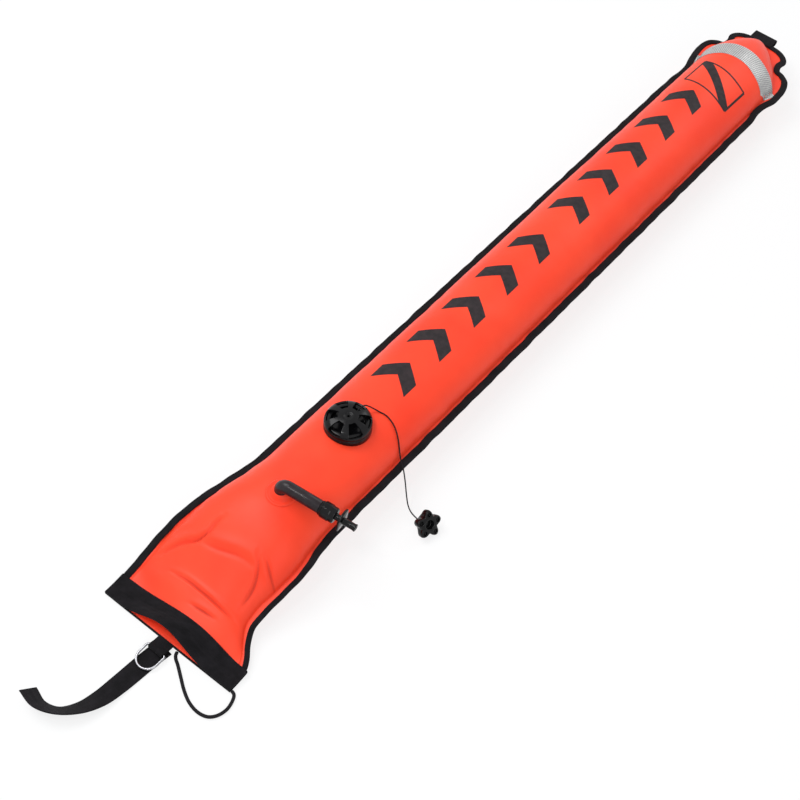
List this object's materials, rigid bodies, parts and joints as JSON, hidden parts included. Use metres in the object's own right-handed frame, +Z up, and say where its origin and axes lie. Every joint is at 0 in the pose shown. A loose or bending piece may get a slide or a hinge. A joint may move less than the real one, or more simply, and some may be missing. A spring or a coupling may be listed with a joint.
{
  "type": "surface marker buoy",
  "caption": "Diver's inflatable marker tube, open at a webbed mouth, with a spring dump valve and pull cord, an oral inflator with a lock nut, and a ring on a tab.",
  "frame": {"origin": "middle of the flat strip that the tube rests on, half way along the bag", "axes": "+Y along the tube from its mouth to its head, +Z up from the ground, +X across it towards the side where the pull cord hangs"},
  "size_m": [0.1901, 1.1705, 0.0925],
  "materials": {
    "orange_cloth": "coated nylon, slight sheen",
    "lining": "smooth coated",
    "binding": "woven tape",
    "webbing": "woven webbing",
    "reflective_tape": "glass bead tape",
    "black_plastic": "moulded gloss",
    "grey_rubber": "satin",
    "steel": "polished stainless",
    "elastic": "braided"
  },
  "bodies": {
    "bag": {"front_panel": "orange_cloth", "back_panel": "orange_cloth", "front_flap": "lining", "back_flap": "lining", "edge_binding": "binding", "front_mouth_webbing": "webbing", "back_mouth_webbing": "webbing", "reflective_tape": "reflective_tape", "head_loop": "webbing", "valve_base": "black_plastic", "valve_seat": "black_plastic", "valve_cap": "black_plastic", "valve_spring": "steel", "inflator_patch": "orange_cloth", "inflator_elbow": "grey_rubber", "inflator_barrel": "black_plastic", "inflator_spring": "steel", "ring_tab": "webbing", "strap_tail": "webbing", "bungee_loop": "elastic", "pull_cord": "elastic", "pull_knob": "black_plastic"},
    "poppet": {"valve_seal": "grey_rubber", "valve_poppet": "black_plastic"},
    "lock_nut": {"inflator_nut": "black_plastic"},
    "mouthpiece": {"inflator_mouthpiece": "black_plastic", "inflator_seal": "grey_rubber"},
    "ring": {"d_ring": "steel"}
  },
  "joints": [
    {"name": "poppet_lift", "type": "slide", "parent": "bag", "child": "poppet", "axis": [0, 0, 1], "range_m": [0, 0.0025], "stiffness_N_per_m": 300, "springref_m": -0.003, "deforming": ["valve_spring"]},
    {"name": "mouthpiece_push", "type": "slide", "parent": "bag", "child": "mouthpiece", "axis": [-0.9836, -0.147, 0.1045], "range_m": [0, 0.004], "stiffness_N_per_m": 400, "springref_m": -0.003, "deforming": ["inflator_spring"]},
    {"name": "lock_nut_turn", "type": "hinge", "parent": "bag", "child": "lock_nut", "pos_m": [0.0442, -0.36084, 0.08223], "axis": [0.9836, 0.147, -0.1045], "range_deg": [0, 720]},
    {"name": "ring_swing", "type": "hinge", "parent": "bag", "child": "ring", "pos_m": [0.00059, -0.53039, 0.0046], "axis": [-0.9994, 0.0349, 0], "range_deg": [0, 120]}
  ]
}
